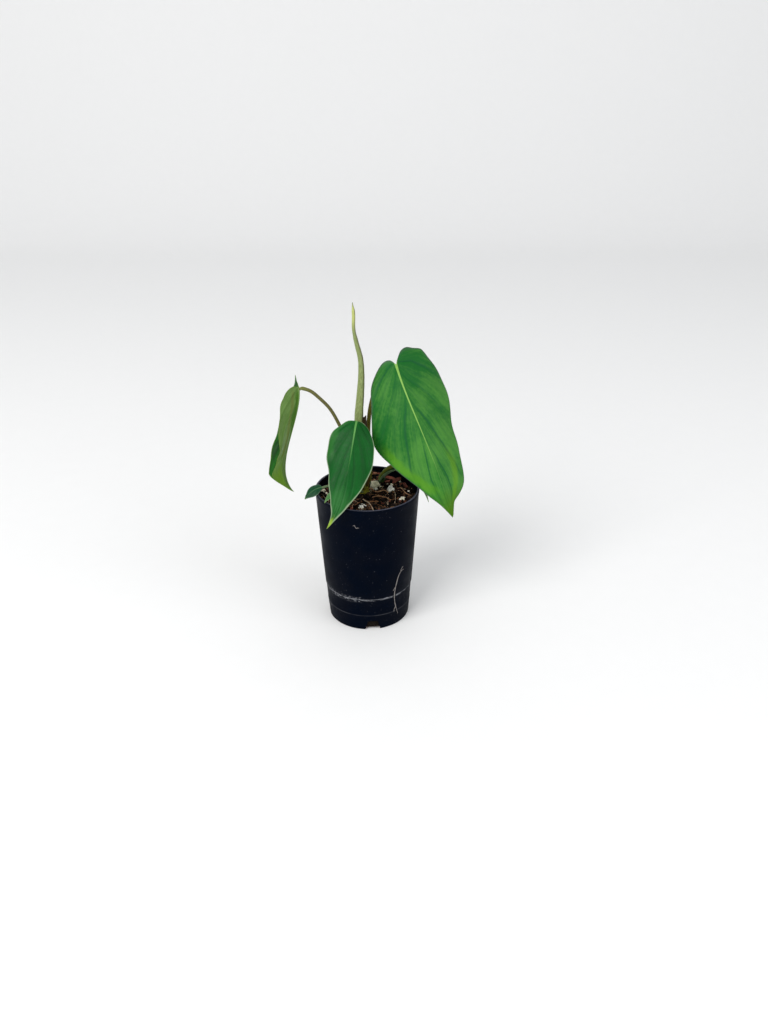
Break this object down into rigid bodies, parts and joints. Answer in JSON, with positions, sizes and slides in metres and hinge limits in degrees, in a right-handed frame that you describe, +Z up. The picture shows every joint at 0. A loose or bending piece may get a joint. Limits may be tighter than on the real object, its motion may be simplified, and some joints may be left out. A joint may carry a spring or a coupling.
{
  "type": "potted philodendron",
  "caption": "Young philodendron with heart-shaped, softly pleated leaves on bent stalks and a rolled new leaf, growing in a small tapered black nursery pot.",
  "frame": {"origin": "middle of the pot's base, on the flat disc that it stands on", "axes": "+Z up, +Y away from the plant's best side, +X to the right as seen from that side"},
  "size_m": [0.1514, 0.091, 0.2565],
  "materials": {
    "pot_plastic": "satin",
    "potting_mix": "matte",
    "stem": "satin",
    "root": "matte",
    "rolled_leaf": "satin",
    "dry_sheath": "matte",
    "leaf_bright": "satin",
    "leaf_deep": "satin",
    "leaf_underside": "satin",
    "leaf_pale": "satin",
    "stalk_olive": "satin",
    "stalk_pale": "satin"
  },
  "bodies": {
    "root": {"pot": "pot_plastic", "potting_mix": "potting_mix", "stem": "stem", "roots": "root", "rolled_leaf": "rolled_leaf", "dry_sheath": "dry_sheath", "blade_right": "leaf_bright", "petiole_right": "stalk_olive", "blade_front": "leaf_deep", "petiole_front": "stalk_olive", "blade_left": "leaf_underside", "petiole_left": "stalk_olive", "blade_small_left": "leaf_deep", "petiole_small_left": "stalk_pale", "blade_small_right": "leaf_deep", "petiole_small_right": "stalk_pale", "blade_small_front": "leaf_pale", "petiole_small_front": "stalk_pale"}
  },
  "joints": []
}
